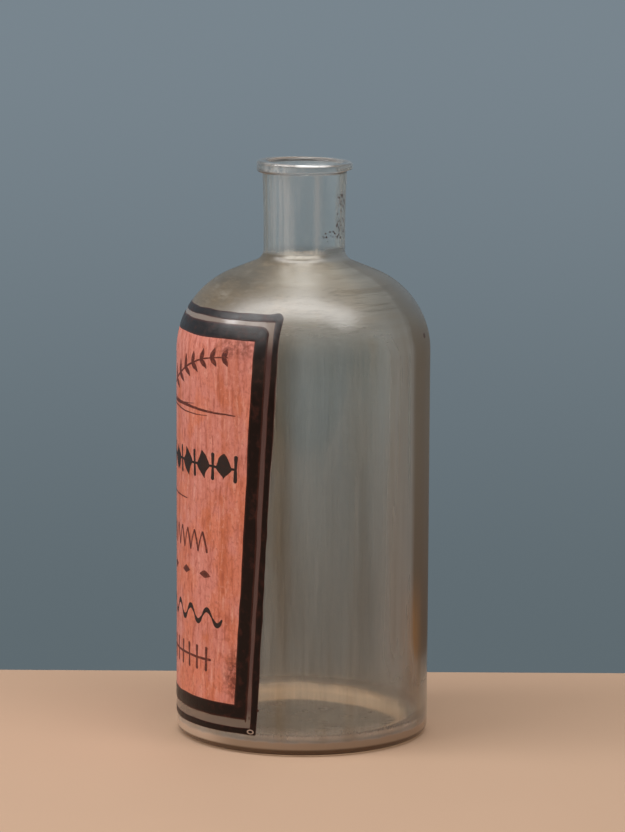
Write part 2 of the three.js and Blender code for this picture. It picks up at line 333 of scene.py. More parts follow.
def buildGlass(material):
    g = glass
    outside = filledIn(outsideProfile(), g["spacing"])
    inside = filledIn(insideProfile(), g["spacing"])
    outside[-1, 1] = inside[0, 1] = g["height"]
    profile = np.vstack([outside[1:], inside[:-1]])
    isInside = np.r_[np.zeros(len(outside) - 1), np.ones(len(inside) - 1)]
    angles = np.linspace(0, 2 * math.pi, g["around"], endpoint=False)
    radius = profile[:, 0][:, None] * np.ones_like(angles)
    height = profile[:, 1][:, None] * np.ones_like(angles)
    sway = np.where(isInside[:, None] > 0, insideSway(angles, height), outsideSway(angles, height))
    neckEnd = g["height"] - g["lipHeight"]
    nearMouth = smoothStep(neckEnd - g["mouthReach"], neckEnd, height)
    overLip = np.clip((height - neckEnd) / g["lipHeight"], 0, 1)
    radius = radius + (sway * smoothStep(*g["swayStarts"], radius)
                       * (1 - g["mouthCalm"] * nearMouth))
    ripple = sum(tall * np.sin(count * angles + phase) for tall, count, phase in g["ripples"])
    lower = -g["lipTaper"] * np.cos(angles) + ripple
    upper = -g["lipSlope"] * (1 - np.cos(angles))
    height = height + nearMouth * lerp(lower, upper, overLip)
    points = np.stack([radius * np.sin(angles), -radius * np.cos(angles), height], -1)
    rings, around = radius.shape
    points = points.reshape(-1, 3)
    faces = []
    for i in range(rings - 1):
        for j in range(around):
            k = (j + 1) % around
            faces.append((i * around + j, i * around + k, (i + 1) * around + k,
                          (i + 1) * around + j))
    under, over = len(points), len(points) + 1
    points = np.vstack([points, [(0, 0, outside[0, 1]), (0, 0, inside[-1, 1])]])
    last = (rings - 1) * around
    for j in range(around):
        k = (j + 1) % around
        faces.append((under, k, j))
        faces.append((over, last + j, last + k))
    inner = np.r_[np.repeat(isInside, around), 0, 1]
    addPiece("bottle_glass", points, faces, ["bottle_body", "lip_ring"],
             material, {"inside": inner})


label = {
    "bottom": 0.009,
    "rise": 0.023,             # how far it climbs above the straight side, onto the shoulder
    "halfWidthBottom": 0.0726,
    "halfWidthTop": 0.0832,
    "outerLine": 0.0031,
    "gap": 0.0021,             # bare glass between the outer line and the frame
    "gapBelow": 0.0039,
    "frame": 0.0067,
    "underFrame": 0.0007,      # how far the ground runs on under the frame
}
label["top"] = glass["sideTop"] + label["rise"]


wash = {
    "colour": {
        "glass": (0.93, 0.95, 0.94, 1),
        "grey": (0.64, 0.66, 0.63, 1),
        "brown": (0.50, 0.38, 0.24, 1),
        "deep": (0.29, 0.225, 0.155, 1),
        "stroke": (0.17, 0.13, 0.085, 1),
        "olive": (0.195, 0.160, 0.115, 1),
        "oliveLow": (0.155, 0.110, 0.070, 1),
        "rust": (0.32, 0.175, 0.070, 1),
        "pale": (0.74, 0.74, 0.70, 1),
        "farHigh": (0.56, 0.60, 0.62, 1),      # the far side is washed thicker; these darker tints also multiply its colour as painted shade, darkest low down and on the shoulder
        "farLow": (0.36, 0.37, 0.37, 1),
        "farShoulder": (0.41, 0.41, 0.39, 1),
        "shoulder": (0.38, 0.32, 0.235, 1),
        "shoulderLeft": (0.22, 0.16, 0.095, 1),
        "browLeft": (0.10, 0.075, 0.045, 1),
        "shoulderRight": (0.39, 0.385, 0.34, 1),
        "rootSide": (0.34, 0.34, 0.32, 1),
        # painted shade along the far rim
        "rimLine": (0.040, 0.035, 0.030, 1),
        "gap": (0.125, 0.064, 0.058, 1),
        "gapAbove": (0.32, 0.25, 0.205, 1),
        "gapBelow": (0.22, 0.165, 0.13, 1),
        "foot": (0.27, 0.22, 0.17, 1),
        "footLeft": (0.50, 0.40, 0.30, 1),
        "heel": (0.40, 0.275, 0.185, 1),
        "heelLeft": (0.66, 0.48, 0.35, 1),
        # painted shade at the very bottom of the heel
        "underHeel": (0.115, 0.060, 0.030, 1),
        "neckPale": (0.84, 0.83, 0.80, 1),
        # painted highlight at the neck's root
        "rootPale": (0.86, 0.81, 0.71, 1),
        "neckBrown": (0.54, 0.50, 0.42, 1),
        "dust": (0.36, 0.32, 0.27, 1),         # on the floor inside
        # painted light: the warm tan of the lit table, seen through the bare far band, laid on the
        # floor inside
        "warmDust": (0.95, 0.67, 0.45, 1),
        "lipEdge": (0.60, 0.59, 0.57, 1),
        "speck": (0.065, 0.022, 0.014, 1),
        # a dark line in the crease under the lip, and painted shade along the far rim
        "dirt": (0.16, 0.14, 0.12, 1),
        # painted highlight along the lip's top outer edge
        "worn": (0.93, 0.92, 0.90, 1),
    },
    "grain": {                 # scale, detail and roughness of each noise
        "broad": (75, 3, 0.5), "fine": (700, 3, 0.6), "swirl": (190, 5, 0.6),
        "hairs": (1400, 3, 0.6), "cloud": (24, 3, 0.55), "mottle": (130, 4, 0.6),
        "neckLines": (420, 4, 0.6), "ragged": (6, 5, 0.7),
    },
    "stretch": {"upright": 0.05, "around": 0.22, "neckLines": 0.03, "ragged": 14},
    "height": {                # where a mark starts and is full, then where it wanes and is gone
        "shoulder": (0.184, 0.21), "farShoulder": (0.17, 0.216), "aboutRoot": (-0.0015, 0.0025),
        "low": (0.17, 0.03), "lowest": (0.11, 0.02), "bandFoot": (0.04, 0.11),
        "oliveFoot": (0.006, 0.054), "rust": (0.013, 0.024, 0.055, 0.085),
        "domeTop": (0.213, 0.227), "brow": (0.212, 0.219), "farTop": (0.15, 0.18),
        "heel": (0.0086, 0.007), "underHeel": (0.0038, 0.0026), "foot": (0.013, 0.002),
        "gapTop": (0.186, 0.199), "gapFoot": (0.022, 0.015),
        "rootLine": (0.2275, 0.2286, 0.2292, 0.23), "rootRing": (0.229, 0.23),
        "rootRingTop": (0.233, 0.2302), "rootSide": (0.225, 0.2275, 0.2315, 0.2345),
        "crease": (0.2664, 0.2671, 0.2677, 0.2684), "lip": (0.2668, 0.268),
        "lipEdge": (0.27, 0.2712), "rim": (0.27, 0.2708),
        "rimLine": (0.27, 0.2706, 0.2713, 0.272), "worn": (0.2706, 0.2712, 0.272, 0.2726),
        "aboveHeel": (0.12, 0.13),     # the neck is narrower than the heel's ring
        "dust": (0.0106, 0.0066), "farHaze": (0.008, 0.014), "coat": (0.187, 0.205),
        "coatTop": (0.212, 0.224),
    },
    "turn": {                  # the same, in radians from the label's middle towards +X
        "olive": (2.36, 2.7), "oliveLow": (1.9, 2.5), "domeLeft": (1.42, 0.95),
        "browLeft": (1.2, 0.75), "domeRight": (1.95, 2.6), "leftward": (1.05, 0.65),
        "neckFront": (0.62, 0.4), "neckBack": (2.4, 2.8), "neckPale": (0.45, 0.75, 1.15, 1.55),
        "smudge": (0.4, 0.9, 1.05, 1.5), "worn": (1.2, 1.55, 1.95, 2.35),
        "rootLine": (0.95, 1.3, 1.85, 2.1), "rootRing": (0.75, 1.25),
        "rootRingBack": (2.55, 1.85), "rootSide": (1.85, 2.25), "coat": (0.5, 1.1),
    },
    "band": {                  # middle and reach in degrees
        "deep": (83.5, 9), "brown": (80, 10), "rust": (150, 13), "neck": (108, 9),
    },
    "farSide": (0.010, -0.022),                # x
    "aroundBack": (-0.046, 0.006),
    "farEdge": (0.050, 0.040),                 # y
    "crescentEdge": (0.052, 0.046),
    "farCorner": (0.024, 0.045),
    "creaseSide": (0.006, 0.0195),
    "heelRing": (0.0562, 0.0575),              # distance from the axis
    "rimRing": (0.0208, 0.0216),
    "neckRoot": 0.2303,
    "farNeckRoot": 0.2225,
    "bareBelow": 0.0024,       # the wash ends raggedly above the foot on the far side
    "noBare": -0.002,
    "raggedness": 0.0042,
    "labelEdge": 0.001,
    "labelEdgeTurn": 0.02,
    "discCentre": (0.0132, -0.001, 0.006),     # the dusty part of the floor inside; the crescent round it carries the painted glow of the lit table
    "discReach": (0.0475, 0.0475, 0.03),
    "neckDots": (850, 0.60),   # scale and largest size, in two patches of the neck
    "neckPatches": (((0.0090, 0.0172, 0.2475), (0.0075, 0.0034, 0.0125)),
                    ((0.0140, 0.0125, 0.2380), (0.006, 0.0060, 0.0032))),
    "flecks": (((0.0165, 0.0567, 0.192), (0.0022, 0.0022, 0.0016)),
               ((0.0563, -0.0206, 0.0212), (0.0012, 0.0012, 0.0009)),
               ((0.0542, -0.0262, 0.0165), (0.0007, 0.0007, 0.0022)),
               ((0.0550, -0.0245, 0.0172), (0.0005, 0.0005, 0.0014))),
    "opaque": {                # how much of the light the wash and the marks stop
        "body": 0.13, "olive": (0.78, 0.94), "far": (0.52, 0.86), "shoulder": (0.60, 0.44),
        "foot": 0.62, "heel": 0.72, "underLabel": 0.7, "rust": 0.50, "neck": 0.20,
        "lip": 0.14, "smudge": 0.42, "rootLine": 0.85, "rootRing": 0.58, "rootSide": 0.5,
        "lipEdge": 0.12, "specks": 0.9, "dirt": 0.55, "worn": 0.75, "rimLine": 0.85,
    },
    "rough": {"body": (0.06, 0.5), "shoulder": 0.36, "neck": 0.05, "underLabel": 0.16,
              "bare": (0.02, 0.05), "dust": 0.8, "far": 0.38, "coat": 0.29, "lipCoat": 0.14},
    "relief": (0.26, 0.0005),
    "coatIor": 1.75,
    "ior": 1.5,
    "shade": {"near": (0.55, 0.52, 0.47, 1), "far": (0.80, 0.78, 0.74, 1),
              "bare": (0.97, 0.97, 0.97, 1)},  # light that passes on to the floor
}


def band(f, name):
    middle, reach = wash["band"][name]
    apart = f.maths("ABSOLUTE", f.less(f.angle, math.radians(middle)))
    return f.ramp(apart, 0.0, math.radians(reach), 1.0, 0.0)


def findRegions(f):
    h, t = wash["height"], wash["turn"]
    f.inner = f.add("ShaderNodeAttribute", attribute_name="inside").outputs["Fac"]
    f.outer = f.rest(f.inner)
    f.radius = f.maths("SQRT", f.total(f.product(f.x, f.x), f.product(f.y, f.y)))
    f.angle = f.maths("ARCTAN2", f.x, f.product(f.y, -1.0))    # from the label's middle
    f.away = f.maths("ABSOLUTE", f.angle)
    f.far = f.ramp(f.x, *wash["farSide"])
    f.near = f.rest(f.far)
    root = f.between(f.far, wash["neckRoot"], wash["farNeckRoot"])
    f.onNeck = f.ramp(f.less(f.z, root), *h["aboutRoot"])
    f.offNeck = f.rest(f.onNeck)
    start, full = (f.between(f.far, *pair) for pair in zip(h["shoulder"], h["farShoulder"]))
    f.onShoulder = f.product(f.ramp(f.z, start, full), f.offNeck)
    f.onBody = f.rest(f.onShoulder)
    f.low = f.ramp(f.z, *h["low"])
    f.onLip = f.ramp(f.z, *h["lip"])
    f.onLipEdge = f.ramp(f.z, *h["lipEdge"])
    f.neckSides = f.most(f.ramp(f.away, *t["neckFront"]), f.ramp(f.away, *t["neckBack"]))
    soft = wash["labelEdge"]
    edge = f.ramp(f.z, label["bottom"], label["top"],
                  label["halfWidthBottom"] / glass["bodyRadius"],
                  label["halfWidthTop"] / glass["bodyRadius"])
    f.underLabel = f.product(f.ramp(f.less(edge, f.away), 0.0, wash["labelEdgeTurn"]),
                             f.window(f.z, label["bottom"], label["bottom"] + soft,
                                      label["top"] - soft, label["top"]))


def findBrushMarks(f):
    g, stretch = wash["grain"], wash["stretch"]
    upright = f.stretched(stretch["upright"])
    around = f.vector(f.radius, f.z, f.product(f.total(f.x, f.y), stretch["around"]))
    f.broad, f.fine = f.grain(upright, *g["broad"]), f.grain(upright, *g["fine"])
    swirl, hairs = f.grain(around, *g["swirl"]), f.grain(around, *g["hairs"])
    f.cloud, f.mottle = f.grain(f.place, *g["cloud"]), f.grain(f.place, *g["mottle"])
    f.streak = f.between(f.onShoulder, f.broad, f.between(0.45, swirl, f.mottle))
    f.hair = f.between(f.onShoulder, f.fine, hairs)
    f.strokes = f.between(0.6, swirl, hairs)


def findBands(f):
    h, t = wash["height"], wash["turn"]
    f.deep = f.product(band(f, "deep"), f.onBody, f.ramp(f.z, *h["bandFoot"], 0.1))
    upright = f.product(band(f, "brown"), f.onBody, f.ramp(f.z, *h["bandFoot"], 0.45))
    lowest = f.product(f.ramp(f.z, *h["lowest"]), 0.30)        # browner towards the foot
    f.brown = f.product(f.total(upright, f.total(f.ramp(f.streak, 0.47, 0.70, 0.0, 0.50), lowest),
                                clamp=True), f.patchy(f.cloud, 0.45))
    back = f.most(f.ramp(f.away, *t["olive"]),
                  f.product(f.ramp(f.away, *t["oliveLow"]), f.between(f.low, 0.56, 0.74)))
    f.olive = f.product(back, f.patchy(f.streak, 0.8, 0.2), f.ramp(f.z, *h["oliveFoot"], 0.2),
                        f.ramp(f.x, *wash["aroundBack"]))      # thins out round the back
    f.thick = f.ramp(f.olive, 0.1, 0.9)
    f.rust = f.product(band(f, "rust"), f.window(f.z, *h["rust"]), f.patchy(f.hair, 0.5, 0.3, 0.55))
    f.pale = f.product(f.ramp(f.between(0.3, f.streak, f.hair), 0.48, 0.28, 0.0, 0.6),
                       f.between(f.onShoulder, 1.0, 0.25))


def findFootMarks(f):
    h = wash["height"]
    onRing = f.product(f.ramp(f.radius, *wash["heelRing"]), f.near)
    f.onHeel = f.product(onRing, f.ramp(f.total(f.z, f.product(f.mottle, 0.002)), *h["heel"]))
    # Painted shade: the very bottom of the heel, on the side towards +X, darkened where the table
    # under the bottle lies in shade.
    f.underHeel = f.product(f.onHeel, f.ramp(f.z, *h["underHeel"]))
    f.onFoot = f.product(f.near, f.ramp(f.less(f.z, f.product(f.fine, 0.008)), *h["foot"]))


def findNeckMarks(f):
    h, t = wash["height"], wash["turn"]
    # Painted highlights: pale opaque wash in a line and a ragged ring round the neck's root, on the
    # side towards +X.
    f.rootLine = f.product(f.window(f.z, *h["rootLine"]), f.window(f.angle, *t["rootLine"]),
                           f.patchy(f.hair, 0.6))
    ragged = f.total(f.z, f.product(f.less(f.broad, 0.5), 0.004))
    f.rootRing = f.product(f.ramp(f.z, *h["rootRing"]), f.ramp(ragged, *h["rootRingTop"]), f.outer,
                           f.ramp(f.angle, *t["rootRing"]),
                           f.ramp(f.angle, *t["rootRingBack"], 0.15), f.patchy(f.hair, 0.7))
    f.rootSide = f.product(f.outer, f.ramp(f.angle, *t["rootSide"]), f.window(f.z, *h["rootSide"]))
    f.smudge = f.product(f.window(f.angle, *t["smudge"]), f.ramp(f.mottle, 0.35, 0.60))
    # A paler, thicker veil in upright streaks on the side towards +X, partly the wash and partly
    # painted reflections of lights; the neck's sides get a thicker veil too.
    streaks = f.product(f.most(f.window(f.angle, *t["neckPale"]), band(f, "neck")), f.near, 0.8)
    streaks = f.most(streaks, f.product(f.neckSides, 0.75))
    lines = f.grain(f.stretched(wash["stretch"]["neckLines"]), *wash["grain"]["neckLines"])
    veil = f.product(f.ramp(lines, 0.36, 0.64, 0.35, 1.2), f.between(streaks, 0.30, 1.3))
    f.veil = f.between(f.onLip, veil, f.patchy(f.mottle, 0.5, 0.35))


def findLipMarks(f):
    h = wash["height"]
    # A dark line in the crease under the lip, fainter where it faces ±X, and painted shade along
    # the top of the far rim.
    crease = f.product(f.window(f.z, *h["crease"]),
                       f.ramp(f.maths("ABSOLUTE", f.y), *wash["creaseSide"], 0.25))
    rim = f.product(f.far, f.ramp(f.radius, *wash["rimRing"]), f.ramp(f.z, *h["rim"]))
    f.dirt = f.product(f.most(crease, rim), f.outer)
    # Painted shade: a dark line along the inner top edge of the far rim.
    f.rimLine = f.product(f.far, f.inner, f.window(f.z, *h["rimLine"]))
    # Painted highlight: pale opaque wash along the lip's top outer edge, on the side towards +X.
    f.worn = f.product(f.window(f.angle, *wash["turn"]["worn"]), f.outer, f.window(f.z, *h["worn"]),
                       f.patchy(f.hair, 0.6, 0.3, 0.5))


def findCover(f):
    cover = f.between(f.onShoulder, f.patchy(f.streak, 0.75, 0.25, 0.75), 1.0)
    cover = f.between(f.onNeck, f.most(cover, f.thick), f.veil)
    cover = f.most(cover, f.onHeel, f.rootRing, f.rootSide)
    around = f.vector(f.angle, f.product(f.z, wash["stretch"]["ragged"]), 0.0)
    ragged = f.less(f.grain(around, *wash["grain"]["ragged"]), 0.5)
    edge = f.between(f.product(f.far, f.ramp(f.y, *wash["farEdge"])), wash["noBare"],
                     wash["bareBelow"])
    edge = f.total(edge, f.product(ragged, f.between(f.far, 0.0, wash["raggedness"])))
    above = f.product(f.ramp(f.less(f.z, edge), -0.0005, 0.0007),
                      f.ramp(f.radius, *wash["heelRing"]))
    above = f.most(above, f.ramp(f.z, *wash["height"]["aboveHeel"]))
    f.cover = f.between(f.underLabel, f.product(cover, above, f.outer), f.outer)


def findDust(f):
    # A veil of dust on the floor inside; in the crescent round the disc it is thicker and carries
    # painted light, the glow of the lit table.
    disc = f.rest(f.blot(wash["discCentre"], wash["discReach"], 0.92))
    f.crescent = f.product(disc, f.ramp(f.y, *wash["crescentEdge"]))
    height = f.total(f.z, f.ramp(f.y, *wash["farCorner"], 0.0, 0.002))
    thickness = f.total(f.ramp(f.mottle, 0.3, 0.7, 0.30, 0.54),
                        f.product(f.crescent, f.ramp(f.fine, 0.3, 0.7, 0.12, 0.36)))
    f.dust = f.product(f.inner, f.ramp(height, *wash["height"]["dust"]), thickness)
    patches = f.most(*(f.blot(centre, size, 0.8) for centre, size in wash["neckPatches"]))
    flecks = [f.blot(centre, size, 0.6) for centre, size in wash["flecks"]]
    f.specks = f.product(f.most(f.product(f.dots(*wash["neckDots"]), patches), *flecks), f.outer)


def shoulderColour(f):
    h, t, c = wash["height"], wash["turn"], wash["colour"]
    patches = f.patchy(f.between(0.5, f.cloud, f.mottle), 0.7, 0.35)
    brow = f.product(f.ramp(f.z, *h["brow"]), f.ramp(f.angle, *t["browLeft"], 0.0, 0.9))
    leftSide = f.product(f.ramp(f.angle, *t["domeLeft"]), patches,
                         f.ramp(f.z, *h["domeTop"], 1.0, 0.8))
    dome = f.blend(leftSide, c["shoulder"], f.blend(brow, c["shoulderLeft"], c["browLeft"]))
    return f.blend(f.product(f.ramp(f.angle, *t["domeRight"]), patches), dome, c["shoulderRight"])


def washColour(f):
    h, c = wash["height"], wash["colour"]
    tint = f.blend(f.onShoulder, c["grey"], shoulderColour(f))
    tint = f.blend(f.brown, tint, c["brown"])
    tint = f.blend(f.pale, tint, c["pale"])
    tint = f.blend(f.product(f.deep, f.ramp(f.streak, 0.3, 0.6, 0.5, 0.85)), tint, c["deep"])
    stroke = f.product(f.onShoulder, f.ramp(f.strokes, 0.50, 0.62, 0.0, 0.34))
    tint = f.blend(stroke, tint, c["stroke"])
    tint = f.blend(f.thick, tint, f.blend(f.low, c["olive"], c["oliveLow"]))
    tint = f.blend(f.rust, tint, c["rust"])
    # painted shade: the far side's colour is multiplied darker, most low down and on the shoulder
    farTint = f.blend(f.ramp(f.z, *h["farTop"]), f.blend(f.low, c["farHigh"], c["farLow"]),
                      c["farShoulder"])
    tint = f.blend(f.far, tint, farTint, "MULTIPLY")
    tint = f.blend(f.onNeck, tint, f.blend(f.neckSides, c["neckPale"], c["neckBrown"]))
    left = f.ramp(f.angle, *wash["turn"]["leftward"])
    tint = f.blend(f.onFoot, tint, f.blend(left, c["foot"], c["footLeft"]))
    tint = f.blend(f.onHeel, tint, f.blend(left, c["heel"], c["heelLeft"]))
    tint = f.blend(f.underHeel, tint, c["underHeel"])
    gap = f.blend(f.ramp(f.z, *h["gapTop"]), c["gap"], c["gapAbove"])
    gap = f.blend(f.ramp(f.z, *h["gapFoot"]), gap, c["gapBelow"])
    tint = f.blend(f.underLabel, tint, gap)
    # painted highlight at the neck's root
    tint = f.blend(f.most(f.rootLine, f.rootRing), tint, c["rootPale"])
    return f.blend(f.rootSide, tint, c["rootSide"])


def setColour(f):
    c = wash["colour"]
    colour = f.blend(f.cover, c["glass"], washColour(f))
    # painted light on the floor inside: the crescent takes the warm tan of the lit table, the rest
    # the grey of dust
    colour = f.blend(f.ramp(f.dust, 0.0, 0.3), colour,
                     f.blend(f.crescent, c["dust"], c["warmDust"]))
    for share, name in ((f.specks, "speck"), (f.dirt, "dirt"), (f.onLipEdge, "lipEdge"),
                        (f.worn, "worn"), (f.rimLine, "rimLine")):
        colour = f.blend(share, colour, c[name])
    f.give("Base Color", colour)


def setClearness(f):
    o = wash["opaque"]
    brushed = f.product(f.ramp(f.hair, 0.36, 0.64, 0.75, 1.25),
                        f.ramp(f.streak, 0.34, 0.66, 0.75, 1.25), o["body"])
    body = f.between(f.thick, brushed, f.between(f.low, *o["olive"]))
    opaque = f.between(f.onShoulder, body, f.ramp(f.strokes, 0.38, 0.62, *o["shoulder"]))
    opaque = f.most(opaque, f.product(f.onFoot, o["foot"]))
    opaque = f.between(f.far, opaque, f.between(f.low, *o["far"]))
    opaque = f.between(f.underLabel, opaque, o["underLabel"])
    opaque = f.most(opaque, f.product(f.rust, o["rust"]))
    opaque = f.between(f.onHeel, opaque, o["heel"])
    lip = f.between(f.smudge, o["lip"], o["smudge"])
    opaque = f.between(f.onNeck, opaque, f.between(f.product(f.onLip, f.near), o["neck"], lip))
    for share, name in ((f.rootLine, "rootLine"), (f.rootRing, "rootRing"),
                        (f.rootSide, "rootSide")):
        opaque = f.between(share, opaque, o[name])
    marks = [f.product(share, o[name])
             for share, name in ((f.onLipEdge, "lipEdge"), (f.specks, "specks"),
                                 (f.dirt, "dirt"), (f.worn, "worn"), (f.rimLine, "rimLine"))]
    f.give("Transmission Weight", f.rest(f.most(f.product(f.cover, opaque), f.dust, *marks)))


def setGloss(f):
    h, r = wash["height"], wash["rough"]
    satin = f.between(f.onShoulder, f.between(f.olive, *r["body"]), r["shoulder"])
    satin = f.between(f.onNeck, satin, r["neck"])
    satin = f.between(f.underLabel, satin, r["underLabel"])
    bare = f.most(f.between(f.inner, *r["bare"]), f.product(f.dust, r["dust"]))
    haze = f.product(f.far, f.offNeck, f.ramp(f.z, *h["farHaze"], 0.0, r["far"]))
    f.give("Roughness", f.most(f.between(f.cover, bare, satin), haze))
    coat = f.product(f.cover, f.ramp(f.angle, *wash["turn"]["coat"], 0.35), f.onShoulder, f.near,
                     f.ramp(f.strokes, 0.40, 0.62, 1.0, 0.80),
                     f.ramp(f.z, *h["coatTop"], 1.0, 0.70), f.ramp(f.z, *h["coat"]))
    f.give("Coat Weight", f.most(coat, f.product(f.onLip, f.outer, f.near)))
    f.give("Coat Roughness", f.between(f.onLip, r["coat"], r["lipCoat"]))
    f.give("Coat IOR", wash["coatIor"])
    f.give("IOR", wash["ior"])
    f.give("Specular IOR Level", f.between(f.product(f.olive, f.low, f.cover), 0.5, 0.1))
    height = f.product(f.between(0.5, f.streak, f.hair), f.cover)
    f.give("Coat Normal", f.relief(height, *wash["relief"]))


def letLightPass(f):
    s = wash["shade"]
    washed = f.blend(f.far, s["near"], s["far"])
    clear = f.made("ShaderNodeBsdfTransparent", 0, f.blend(f.cover, s["bare"], washed))
    shadow = f.add("ShaderNodeLightPath").outputs["Is Shadow Ray"]
    mix = f.made("ShaderNodeMixShader", 0, shadow, f.shader.outputs[0], clear)
    f.feed(f.tree.nodes["Material Output"].inputs["Surface"], mix)


def washedGlass():
    f = Finish("washed_glass")
    for step in (findRegions, findBrushMarks, findBands, findFootMarks, findNeckMarks,
                 findLipMarks, findCover, findDust, setColour, setClearness, setGloss,
                 letLightPass):
        step(f)
    return f.material


buildGlass(washedGlass())
print("glass built")


def onGlass(across, height, lift):
    across, height = np.asarray(across, float), np.asarray(height, float)
    g = glass
    climb = np.maximum(height - g["sideTop"], 0) / g["shoulderRadius"]
    level = np.sqrt(1 - climb * climb)
    angle = across / g["bodyRadius"]
    radius = (g["bodyRadius"] - g["shoulderRadius"] + (g["shoulderRadius"] + lift) * level
              + outsideSway(angle, height) * level)
    return np.stack([radius * np.sin(angle), -radius * np.cos(angle),
                     height + lift * climb], -1)


def halfWidth(height, inset):
    share = (np.asarray(height, float) - label["bottom"]) / (label["top"] - label["bottom"])
    return lerp(label["halfWidthBottom"], label["halfWidthTop"], share) - inset


def outline(inset, insetBelow, roundAbove, roundBelow):
    bottom, top = label["bottom"] + insetBelow, label["top"] - inset
    counts = {"level": 110, "side": 170, "corner": 8}
    width = halfWidth(bottom, inset)
    right = [(a, bottom) for a in np.linspace(0, width - roundBelow, counts["level"])]
    for turn in np.linspace(-math.pi / 2, 0, counts["corner"] + 2)[1:-1]:
        right.append((width - roundBelow + roundBelow * math.cos(turn),
                      bottom + roundBelow + roundBelow * math.sin(turn)))
    for h in np.linspace(bottom + roundBelow, top - roundAbove, counts["side"]):
        right.append((float(halfWidth(h, inset)), h))
    width = halfWidth(top, inset)
    for turn in np.linspace(0, math.pi / 2, counts["corner"] + 2)[1:-1]:
        right.append((width - roundAbove + roundAbove * math.cos(turn),
                      top - roundAbove + roundAbove * math.sin(turn)))
    right += [(a, top) for a in np.linspace(width - roundAbove, 0, counts["level"])]
    right = np.array(right)
    left = right[1:-1][::-1] * (-1, 1)
    return np.vstack([right, left])


def outward(points):
    run = np.roll(points, -1, 0) - np.roll(points, 1, 0)
    run /= np.linalg.norm(run, axis=1)[:, None]
    return np.c_[run[:, 1], -run[:, 0]]


def travelled(points):
    return np.r_[0, np.cumsum(np.linalg.norm(np.diff(points, axis=0), axis=1))]


def closedSheet(rows, columns, wrap):
    faces = []
    lastRow = rows if wrap else rows - 1

    def at(i, j, side):
        return ((i % rows) * columns + j) * 2 + side

    for i in range(lastRow):
        for j in range(columns - 1):
            faces.append((at(i, j, 1), at(i + 1, j, 1), at(i + 1, j + 1, 1), at(i, j + 1, 1)))
            faces.append((at(i, j, 0), at(i, j + 1, 0), at(i + 1, j + 1, 0), at(i + 1, j, 0)))
        end = columns - 1
        faces.append((at(i, 0, 0), at(i + 1, 0, 0), at(i + 1, 0, 1), at(i, 0, 1)))
        faces.append((at(i, end, 1), at(i + 1, end, 1), at(i + 1, end, 0), at(i, end, 0)))
    if not wrap:
        last = rows - 1
        for j in range(columns - 1):
            faces.append((at(0, j, 0), at(0, j, 1), at(0, j + 1, 1), at(0, j + 1, 0)))
            faces.append((at(last, j, 1), at(last, j, 0), at(last, j + 1, 0),
                          at(last, j + 1, 1)))
    return faces


def film(across, height, under, over):
    low = onGlass(across, height, under)
    high = onGlass(across, height, over)
    return np.stack([low, high], 2).reshape(-1, 3)


brushwork = {
    "turns": (3, 60),          # the longest and the shortest wave of a border's wobble
    "fading": -0.75,           # short waves are weaker
    "edgeFall": (7, 0.06),     # how steeply the paint thins to its edge, and its least share
    "ridges": (0.18, 31, 2),   # height, number and sway of the brush's ridges
    "ridgeInset": 0.05,
    "sharp": 50,
}
borders = {
    "outer_line": {
        "inset": 0, "insetBelow": 0, "width": label["outerLine"],
        "bulge": (0.0008, 0.0040, 0.001),      # height, reach and inset of swollen corners
        "roundOutside": (0.0022, 0.0008), "roundInside": (0.0004, 0.0003), "columns": 7,
        "under": 0.00002, "thickness": 0.00012, "wobble": 0.00038, "seed": 11},
    "frame": {
        "inset": label["outerLine"] + label["gap"],
        "insetBelow": label["outerLine"] + label["gapBelow"], "width": label["frame"],
        "bulge": None,
        "roundOutside": (0.0042, 0.0006), "roundInside": (0.0003, 0.0003), "columns": 13,
        "under": 0.00010, "thickness": 0.00012, "wobble": 0.00035, "seed": 23},
}


def paintBorder(name, material):
    border = borders[name]
    inset, below, width = border["inset"], border["insetBelow"], border["width"]
    outer = outline(inset, below, *border["roundOutside"])
    if border["bulge"]:
        tall, reach, within = border["bulge"]
        corner = np.array([float(halfWidth(label["top"], 0)), label["top"]]) - within
        apart = np.linalg.norm(np.abs(outer) - corner, axis=1) / reach
        outer = outer + outward(outer) * (tall * np.exp(-apart ** 2))[:, None]
    inner = outline(inset + width, below + width, *border["roundInside"])
    length = travelled(outer)
    period = length[-1] + np.linalg.norm(outer[0] - outer[-1])
    angle = length / period * 2 * math.pi
    rng = np.random.default_rng(border["seed"])

    def sway(strength):
        turns = np.arange(*brushwork["turns"])
        phases = rng.uniform(0, 2 * math.pi, len(turns))
        wave = (np.sin(angle[:, None] * turns + phases) * turns ** brushwork["fading"]).sum(1)
        return strength * wave / np.abs(wave).max()

    outerEdge = outer + outward(outer) * sway(border["wobble"])[:, None]
    innerEdge = inner + outward(inner) * sway(border["wobble"])[:, None]
    shares = np.linspace(0, 1, border["columns"])
    edge = np.minimum(shares, 1 - shares)
    steep, least = brushwork["edgeFall"]
    dome = np.sqrt(np.clip(edge * steep, least, 1))
    places = outerEdge[:, None, :] * (1 - shares)[:, None] + innerEdge[:, None, :] * shares[:, None]
    tall, count, drift = brushwork["ridges"]
    ridge = np.sin(shares * count + drift * sway(1.0)[:, None]) * (edge > brushwork["ridgeInset"])
    over = border["under"] + border["thickness"] * dome * (1 + tall * ridge)
    points = film(places[..., 0], places[..., 1], border["under"], over)
    edges = np.repeat((edge * np.ones((len(outer), 1)))[..., None], 2, 2).reshape(-1)
    addPiece(name + "_paint", points, closedSheet(len(outer), len(shares), True),
             ["label_" + name], material, {"edge": edges}, brushwork["sharp"])


